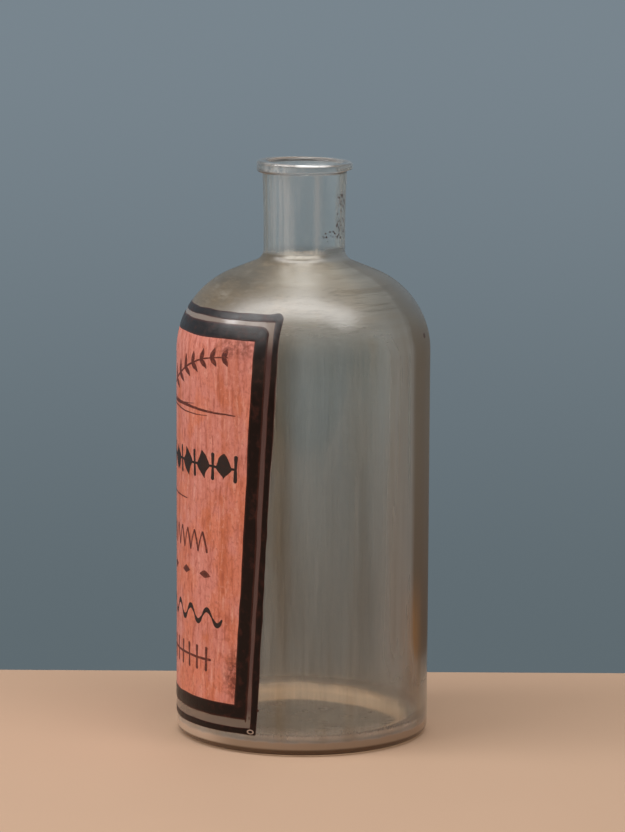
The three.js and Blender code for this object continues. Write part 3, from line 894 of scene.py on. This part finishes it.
blackness = {
    "full": (0.010, 0.0045, 0.0036, 1),
    "thin": (0.070, 0.019, 0.012, 1),
    "bare": (0.50, 0.36, 0.28, 1),
    "blotch": (260, 4, 0.6),
    "fine": (1800, 3, 0.6),
    "bubble": (0.0551, -0.0238, 0.0107),       # a burst bubble left a clear ring
    "ringOutside": ((0.0019, 0.0019, 0.0012), 0.85),
    "ringInside": ((0.0012, 0.0012, 0.00075), 0.8),
    "relief": (0.42, 0.0003),
}


def blackPaint():
    f = Finish("black_brushed_paint")
    b = blackness
    edge = f.add("ShaderNodeAttribute", attribute_name="edge").outputs["Fac"]
    blotch, fine = f.grain(f.place, *b["blotch"]), f.grain(f.place, *b["fine"])
    thin = f.total(f.ramp(edge, 0.0, 0.16, 0.75, 0.0), f.ramp(blotch, 0.50, 0.74, 0.0, 0.6),
                   clamp=True)
    thin = f.product(thin, f.patchy(fine, 0.5))
    ring = f.less(f.blot(b["bubble"], *b["ringOutside"]), f.blot(b["bubble"], *b["ringInside"]),
                  clamp=True)
    colour = f.blend(thin, b["full"], b["thin"])
    f.give("Base Color", f.blend(f.product(ring, 0.85), colour, b["bare"]))
    f.give("Roughness", f.ramp(blotch, 0.3, 0.7, 0.30, 0.46))
    f.give("Specular IOR Level", f.ramp(f.z, 0.165, 0.19, 0.2, 0.75))
    f.relief(f.between(0.5, blotch, fine), *b["relief"])
    return f.material


salmon = {
    "colour": {
        "orange": (0.69, 0.215, 0.130, 1),
        "pink": (0.68, 0.245, 0.190, 1),
        "rust": (0.56, 0.145, 0.062, 1),
        "brown": (0.38, 0.085, 0.045, 1),
        "pale": (0.82, 0.42, 0.33, 1),
        "stain": (0.17, 0.038, 0.022, 1),
    },
    "grain": {                 # stretch upward, scale, detail, roughness, distortion
        "broad": (0.09, 150, 4, 0.6),
        "streak": (0.16, 480, 4, 0.65, 0.3),
        "thread": (0.35, 1300, 3, 0.6),
        "mottle": (1, 420, 4, 0.65),
        "cloud": (1, 55, 3, 0.6),
    },
    "layers": (("streak", 0.50, 0.70, 0.75, "brown"), ("streak", 0.46, 0.30, 0.5, "pale"),
               ("mottle", 0.50, 0.72, 0.55, "brown"), ("mottle", 0.45, 0.28, 0.35, "pale"),
               ("thread", 0.50, 0.75, 0.45, "brown")),
    "stains": (((0.052, -0.029, 0.036), (0.010, 0.012, 0.017), 0.3, 1.0),
               ((0.050, -0.031, 0.1905), (0.018, 0.018, 0.0075), 0.2, 0.75)),
    "relief": (0.3, 0.0003),
    "under": 0.00002,
    "thickness": 0.00007,
    "steps": (181, 221),       # across and up
    "drift": (5, 0.03, 0.002), # seed, longest and shortest wave
    "brush": (6, 0.004, 0.0008),
    "sharp": 50,
}


def salmonPaint():
    f = Finish("salmon_brushed_paint")
    s, c = salmon, salmon["colour"]
    grains = {name: f.grain(f.stretched(upward), *rest)
              for name, (upward, *rest) in s["grain"].items()}
    pink = f.total(f.ramp(grains["cloud"], 0.42, 0.60), f.ramp(f.z, 0.15, 0.185, 0.0, 0.7),
                   clamp=True)
    tone = f.blend(pink, c["orange"], c["pink"])
    rust = f.product(f.ramp(grains["broad"], 0.48, 0.66, 0.0, 0.9), f.between(pink, 1.0, 0.55))
    tone = f.blend(rust, tone, c["rust"])
    for name, low, high, share, colour in s["layers"]:
        tone = f.blend(f.ramp(grains[name], low, high, 0.0, share), tone, c[colour])
    stain = f.most(*(f.product(f.blot(centre, size, soft), strength)
                     for centre, size, soft, strength in s["stains"]))
    stain = f.product(stain, f.ramp(grains["mottle"], 0.38, 0.60, 0.2, 0.95))
    f.give("Base Color", f.blend(stain, tone, c["stain"]))
    f.give("Roughness", f.ramp(grains["streak"], 0.3, 0.7, 0.42, 0.6))
    f.relief(f.between(0.5, grains["streak"], grains["thread"]), *s["relief"])
    return f.material


panelInset = borders["frame"]["inset"] + label["frame"]
panelInsetBelow = borders["frame"]["insetBelow"] + label["frame"]


def buildGround():
    s = salmon
    spread = label["underFrame"]
    columns, rows = s["steps"]
    heights = np.linspace(label["bottom"] + panelInsetBelow - spread,
                          label["top"] - panelInset + spread, rows)
    height, share = np.meshgrid(heights, np.linspace(-1, 1, columns))
    across = share * halfWidth(height, panelInset - spread)
    drift, brush = waver(*s["drift"]), waver(*s["brush"])
    relief = 1 + 0.22 * brush(across + 0.0006 * drift(height)) + 0.08 * drift(height + across)
    points = film(across, height, s["under"], s["under"] + s["thickness"] * relief)
    faces = closedSheet(columns, rows, False)
    addPiece("ground_paint", points, faces, ["label_ground"], salmonPaint(), {},
             s["sharp"])


black = blackPaint()
paintBorder("outer_line", black)
paintBorder("frame", black)
buildGround()
print("label painted")


ink = {
    "black": ((0.016, 0.008, 0.006, 1), (0.085, 0.022, 0.012, 1), 0.35),   # thick, thin, wear
    "maroon": ((0.085, 0.016, 0.010, 1), (0.30, 0.066, 0.038, 1), 0.75),
    "blotch": (700, 4, 0.65),
    "speck": (2600, 3, 0.6),
    "relief": (0.2, 0.0002),
    "under": 0.00009,
    "thickness": 0.00006,
    "layer": 0.000012,         # how far one stroke lies over another
    "spacing": 0.00035,
    "columns": 6,
    "tip": 0.00015,            # width of a stroke's very end
    "pen": 0.0012,
    "uneven": (0.07, 0.012, 0.0009),           # share of the width, longest, shortest wave
    "drift": (0.00014, 0.00010),               # up and aside
    "driftWaves": (0.03, 0.004),
    "lean": (0.00007, 0.004, 0.0006),
    "edgeFall": (5, 0.08),
    "sharp": 50,
}


def brushedInk(name, thick, thin, wear):
    f = Finish(name)
    edge = f.add("ShaderNodeAttribute", attribute_name="edge").outputs["Fac"]
    blotch, speck = f.grain(f.place, *ink["blotch"]), f.grain(f.place, *ink["speck"])
    worn = f.total(f.ramp(blotch, 0.46, 0.74, 0.0, wear), f.ramp(speck, 0.52, 0.8, 0.0, wear),
                   clamp=True)
    worn = f.most(worn, f.ramp(edge, 0.0, 0.12, 0.6, 0.0))
    f.give("Base Color", f.blend(worn, thick, thin))
    f.give("Roughness", f.ramp(blotch, 0.3, 0.7, 0.5, 0.68))
    f.relief(speck, *ink["relief"])
    return f.material


inks = {tone: brushedInk(tone + "_brushed_ink", *ink[tone]) for tone in ("black", "maroon")}


def brushStroke(places, widths, seed, layer=0, blunt=True):
    places, widths = np.array(places, float), np.array(widths, float)
    run = travelled(places)
    steps = max(int(run[-1] / ink["spacing"]), 6)
    at = np.linspace(0, run[-1], steps + 1)
    line = np.c_[np.interp(at, run, places[:, 0]), np.interp(at, run, places[:, 1])]
    width = np.interp(at, run, widths)
    if blunt:
        reach = np.minimum(at, run[-1] - at) / (0.5 * width + 1e-9)
        width = width * np.sqrt(np.clip(1 - (1 - np.clip(reach, 0, 1)) ** 2, 0, 1))
    share, *lengths = ink["uneven"]
    width = np.maximum(width * (1 + share * waver(seed, *lengths)(at)), ink["tip"])
    up, aside = ink["drift"]
    line[:, 1] += up * waver(seed + 1, *ink["driftWaves"])(at)
    line[:, 0] += aside * waver(seed + 2, *ink["driftWaves"])(at)
    forward = np.gradient(line, axis=0)
    forward /= np.linalg.norm(forward, axis=1)[:, None]
    sideways = np.c_[-forward[:, 1], forward[:, 0]]
    shares = np.linspace(-0.5, 0.5, ink["columns"])
    strength, *lengths = ink["lean"]
    lean = waver(seed + 3, *lengths)(at) * strength
    spread = shares[None, :] * (width + lean)[:, None]
    across = line[:, 0][:, None] + sideways[:, 0][:, None] * spread
    height = line[:, 1][:, None] + sideways[:, 1][:, None] * spread
    edge = 0.5 - np.abs(shares)
    steep, least = ink["edgeFall"]
    dome = np.sqrt(np.clip(edge * steep, least, 1))
    under = ink["under"] + ink["layer"] * layer
    over = under + ink["thickness"] * dome[None, :] * np.ones_like(across)
    points = film(across, height, under, over)
    edges = np.repeat((edge * np.ones_like(across))[..., None], 2, 2).reshape(-1)
    return points, closedSheet(len(at), len(shares), False), edges


def paintStrokes(name, strokes, tone):
    points, faces, edges, start = [], [], [], 0
    for places, fresh, edge in strokes:
        points.append(places)
        edges.append(edge)
        faces += [tuple(i + start for i in face) for face in fresh]
        start += len(places)
    addPiece(name + "_ink", np.vstack(points), faces, ["ink_" + name], inks[tone],
             {"edge": np.concatenate(edges)}, ink["sharp"])


rows = {                        # each row's height on the panel as a share of the panel's height
    "sprig": {"share": 0.9, "margin": 0.012, "start": 0.005, "rise": 0.018, "leaves": 7,
              "leafLength": 0.0085, "leafWidth": 0.0027, "turn": 52, "taper": 0.6,
              "bow": 0.10, "points": 40, "leafTip": 0.0003, "seed": 100},
    "ground": {"share": 0.8, "margin": 0.007, "width": 0.0016, "sway": 0.0006, "points": 60,
               "parts": ((0, 1.0, 1.0), (-0.0021, 0.72, 0.5), (0.0018, 0.55, 0.4)), "seed": 300},
    "lozenge": {"share": 0.65, "margin": 0.0055, "units": 9, "height": 0.013, "bar": 0.0018,
                "waist": (1.25, 0.85, 1.2), "tilt": (0.0004, 5.1), "fullness": 0.92,
                "sway": 0.0003, "points": 30, "seed": 400},
    "rule": {"share": 0.545, "half": 0.027, "width": 0.0009, "points": 30, "seed": 500},
    "zigzag": {"share": 0.435, "margin": 0.021, "height": 0.010, "pitch": 0.007,
               "bow": 0.03, "thick": (0.8, 1.25), "seed": 520},
    "dot": {"share": 0.345, "spacing": 0.017, "length": 0.008, "height": 0.004, "side": 3,
            "fullness": 0.8, "sway": 0.0003, "points": 24, "seed": 560},
    "wave": {"share": 0.23, "margin": 0.009, "height": 0.009, "pitch": 0.014, "swell": 0.0026,
             "thin": 0.8, "points": 14, "seed": 600},
    "fluted": {"share": 0.11, "margin": 0.015, "height": 0.012, "pitch": 0.007, "bar": 0.0016,
               "waist": (1.3, 0.8, 1.3), "tilt": (0.0003, 3.7), "seed": 640},
    "edge": 0.0003,            # the panel's own edge shows this much inside the frame's
}
panelBottom = label["bottom"] + panelInsetBelow + rows["edge"]
panelTop = label["top"] - panelInset - rows["edge"]


def rowHeight(row):
    return lerp(panelBottom, panelTop, row["share"])


def rowHalf(row):
    return float(halfWidth(rowHeight(row), panelInset + rows["edge"])) - row.get("margin", 0)


def bowed(start, end, bow, count=14):
    start, end = np.array(start, float), np.array(end, float)
    share = np.linspace(0, 1, count)[:, None]
    aside = np.array([-(end - start)[1], (end - start)[0]])
    return start + (end - start) * share + aside * bow * np.sin(math.pi * share)


def rail(row, height, half):
    return brushStroke([(-half, height), (half, height)], [ink["pen"], ink["pen"]], row["seed"])


def uprightBar(row, across, height, k):
    reach, strength, pace = row["height"] / 2, *row["tilt"]
    tilt = strength * math.sin(pace * k)
    places = [(across - tilt, height - reach), (across, height), (across + tilt, height + reach)]
    return brushStroke(places, np.array(row["waist"]) * row["bar"], row["seed"] + 10 + k, 1)


def sprig(r, h, half, side):
    low = h - r["rise"] / 2
    steps = 2 * r["leaves"]

    def along(share):
        return (side * lerp(r["start"], half, share),
                low + r["rise"] * math.sin(share * math.pi / 2))

    stem = [along(s) for s in np.linspace(0, 1, r["points"])]
    widths = np.linspace(ink["pen"], ink["pen"] / 2, r["points"])
    strokes = [brushStroke(stem, widths, r["seed"] + side)]
    for k in range(1, r["leaves"] + 1):
        root, after = along((2 * k - 1) / steps), along(2 * k / steps)
        direction = math.atan2(after[1] - root[1], after[0] - root[0])
        length = r["leafLength"] * lerp(1, r["taper"], k / r["leaves"])
        for way in (-1, 1):
            turn = direction + way * math.radians(r["turn"])
            tip = (root[0] + length * math.cos(turn), root[1] + length * math.sin(turn))
            path = bowed(root, tip, -r["bow"] * way * side)
            swell = np.sin(math.pi * np.linspace(0.02, 1, len(path)) ** 0.8)
            strokes.append(brushStroke(path, r["leafWidth"] * swell + r["leafTip"],
                                       2 * r["seed"] + 10 * k + way + 100 * side, 1 + k % 2,
                                       False))
    return strokes


def groundStroke(r, h, half):
    share = np.linspace(-1, 1, r["points"])
    strokes = []
    for k, (offset, reach, width) in enumerate(r["parts"]):
        places = np.c_[share * half * reach, h + offset + r["sway"] * np.sin(5 * share + k)]
        widths = r["width"] * width * lerp(0.3, 1, np.cos(share * math.pi / 2) ** 0.7)
        strokes.append(brushStroke(places, widths, r["seed"] + 7 * k, k))
    return strokes


def lozengeRow(r, h, half):
    pitch = 2 * half / r["units"]
    share = np.linspace(-1, 1, r["points"])
    widths = r["height"] * (1 - np.abs(share)) ** r["fullness"]
    strokes = [rail(r, h, half)]
    strokes += [uprightBar(r, -half + k * pitch, h, k) for k in range(r["units"] + 1)]
    for k in range(r["units"]):
        across = -half + (k + 0.5) * pitch + share * (pitch / 2 - r["bar"])
        places = np.c_[across, h + r["sway"] * np.sin(3 * share + k)]
        strokes.append(brushStroke(places, widths, r["seed"] + 40 + k, 2, False))
    return strokes


def fineRule(r, h, half):
    places = [(a, h) for a in np.linspace(-r["half"], r["half"], r["points"])]
    widths = r["width"] * lerp(0.45, 1, np.cos(np.linspace(-1.4, 1.4, r["points"])))
    return [brushStroke(places, widths, r["seed"])]


def zigzagRow(r, h, half):
    turns = 2 * round(2 * half / r["pitch"])
    corners = [(lerp(-half, half, k / turns), h + r["height"] * (k % 2 - 0.5))
               for k in range(turns + 1)]
    strokes = []
    for k in range(turns):
        path = bowed(corners[k], corners[k + 1], r["bow"])
        widths = np.full(len(path), ink["pen"] * r["thick"][k % 2])
        strokes.append(brushStroke(path, widths, r["seed"] + k, k % 2))
    return strokes


def dot(r, h, half, k):
    share = np.linspace(-1, 1, r["points"])
    across = (k + 0.5 - r["side"]) * r["spacing"] + share * r["length"] / 2
    places = np.c_[across, h + r["sway"] * np.sin(2 * share + 1.7 * k)]
    widths = r["height"] * (1 - np.abs(share)) ** r["fullness"]
    return [brushStroke(places, widths, r["seed"] + k, 0, False)]


def waveRow(r, h, half):
    bends = 2 * round(2 * half / r["pitch"])
    share = np.linspace(0, 1, bends * r["points"] + 1)
    rise = np.sin(math.pi * share * bends)
    places = np.c_[lerp(-half, half, share), h + (r["height"] - r["swell"]) / 2 * rise]
    widths = lerp(ink["pen"] * r["thin"], r["swell"], np.abs(rise) ** 1.3)
    return [brushStroke(places, widths, r["seed"])]


def flutedRow(r, h, half):
    units = round(2 * half / r["pitch"])
    pitch = 2 * half / units
    bars = [uprightBar(r, -half + (k + 0.5) * pitch, h, k) for k in range(units)]
    return [rail(r, h, half)] + bars


def paintRow(name, row, strokes, *which, tone="maroon"):
    r = rows[row]
    paintStrokes(name, strokes(r, rowHeight(r), rowHalf(r), *which), tone)


paintRow("sprig_left", "sprig", sprig, -1)
paintRow("sprig_right", "sprig", sprig, 1)
paintRow("ground_stroke", "ground", groundStroke)
paintRow("lozenge_row", "lozenge", lozengeRow, tone="black")
paintRow("fine_rule", "rule", fineRule)
paintRow("zigzag_row", "zigzag", zigzagRow)
for number in range(2 * rows["dot"]["side"]):
    paintRow(f"dot_{number + 1}", "dot", dot, number)
paintRow("wave_row", "wave", waveRow, tone="black")
paintRow("fluted_row", "fluted", flutedRow)
print("ornament painted")


stage = {
    "floor": (0.525, 0.347, 0.237, 1),
    "floorDull": (0.504, 0.33312, 0.22752, 1),
    "floorGrain": (9, 2, 0.5),
    "wallHigh": (0.190, 0.235, 0.270, 1),
    "wallLow": (0.112, 0.144, 0.161, 1),
    "tableBeyond": (0.30, 0.20, 0.135, 1),     # what glass sees below the floor's edge
    "darkRoom": (0.085, 0.082, 0.075, 1),      # what glass and gloss see behind the camera
    "roomLight": (0.24, 0.24, 0.24, 1),
    "behind": -0.117,          # the floor ends this far behind the bottle
    "reach": 0.9,
    "top": -0.0002,
    "foot": -0.03,
    "wallRise": (-0.235, -0.05),               # up
    "tableFall": (-0.28, -0.34),
    "roomStart": (0.0, 0.35),                  # towards the camera
}


def buildFloor():
    s = stage
    f = Finish("pale_floor")
    f.give("Base Color", f.blend(f.grain(f.place, *s["floorGrain"]), s["floor"], s["floorDull"]))
    f.give("Roughness", 0.85)
    f.give("Specular IOR Level", 0.2)
    points = [(x, y, z) for z in (s["foot"], s["top"]) for y in (-s["reach"], s["reach"])
              for x in (s["behind"], s["reach"])]
    faces = [(0, 2, 3, 1), (4, 5, 7, 6), (0, 1, 5, 4), (1, 3, 7, 5), (3, 2, 6, 7), (2, 0, 4, 6)]
    addMesh("floor", points, faces, f.material)


def buildWorld():
    s = stage
    world = bpy.data.worlds.new("studio")
    bpy.context.scene.world = world
    world.use_nodes = True
    world.node_tree.nodes.clear()
    n = Nodes(world.node_tree)
    x, y, z = n.split(n.add("ShaderNodeTexCoord").outputs["Generated"])
    path = n.add("ShaderNodeLightPath").outputs
    indirect = n.rest(path["Is Camera Ray"])
    wall = n.blend(n.ramp(z, *s["wallRise"]), s["wallLow"], s["wallHigh"])
    wall = n.blend(n.product(indirect, n.ramp(z, *s["tableFall"])), wall, s["tableBeyond"])
    wall = n.blend(n.product(indirect, n.ramp(x, *s["roomStart"])), wall, s["darkRoom"])
    seen = n.most(path["Is Camera Ray"], path["Is Glossy Ray"], path["Is Transmission Ray"])
    background = n.made("ShaderNodeBackground", 0, n.blend(seen, s["roomLight"], wall))
    n.feed(n.add("ShaderNodeOutputWorld").inputs["Surface"], background)


lamps = {
    "overhead": {"place": (0.365, -0.075, 1.25), "size": (2.22, 0.54), "power": 15.7,
                 "shines": True},
    "above": {"place": (-0.30, -0.01, 1.20), "size": (0.24, 1.0), "power": 1.7, "shines": True},
    "front": {"place": (0.75, -0.88, 0.95), "size": (0.4, 0.4), "power": 2.2, "shines": True},
    "left": {"place": (0.13, -1.2, 1.05), "size": (0.3, 0.3), "power": 2.2, "shines": True},
    "side": {"place": (0.5, -1.5, 0.80), "size": (0.55, 0.55), "power": 4.2, "shines": False},
    "right": {"place": (0.6, 1.4, 0.9), "size": (0.9, 0.9), "power": 0.4, "shines": False},
}
lampAim = (0, 0, 0.14)


def buildLamps():
    for name, l in lamps.items():
        data = bpy.data.lights.new(name, "AREA")
        data.shape = "RECTANGLE"
        data.size, data.size_y = l["size"]
        data.energy = l["power"]
        lamp = bpy.data.objects.new(name, data)
        lamp.location = l["place"]
        aim = Vector(lampAim) - Vector(l["place"])
        lamp.rotation_euler = aim.to_track_quat("-Z", "Y").to_euler()
        lamp.visible_glossy = l["shines"]
        bpy.context.scene.collection.objects.link(lamp)


view = {
    "place": (1.837, 0.00434, 0.453),
    "down": 9.34,
    "roll": 0.322,
    "lens": 170.13,
    "sensor": 36,
}


def buildCamera():
    data = bpy.data.cameras.new("view")
    data.lens = view["lens"]
    data.sensor_width = view["sensor"]
    data.sensor_fit = "AUTO"
    camera = bpy.data.objects.new("view", data)
    turn = (Matrix.Rotation(math.pi / 2, 4, "Z")
            @ Matrix.Rotation(math.radians(90 - view["down"]), 4, "X")
            @ Matrix.Rotation(math.radians(view["roll"]), 4, "Z"))
    camera.matrix_world = Matrix.Translation(view["place"]) @ turn
    bpy.context.scene.collection.objects.link(camera)
    bpy.context.scene.camera = camera


buildFloor()
buildWorld()
buildLamps()
buildCamera()
bpy.context.scene.view_settings.view_transform = "Standard"
print("stage set")
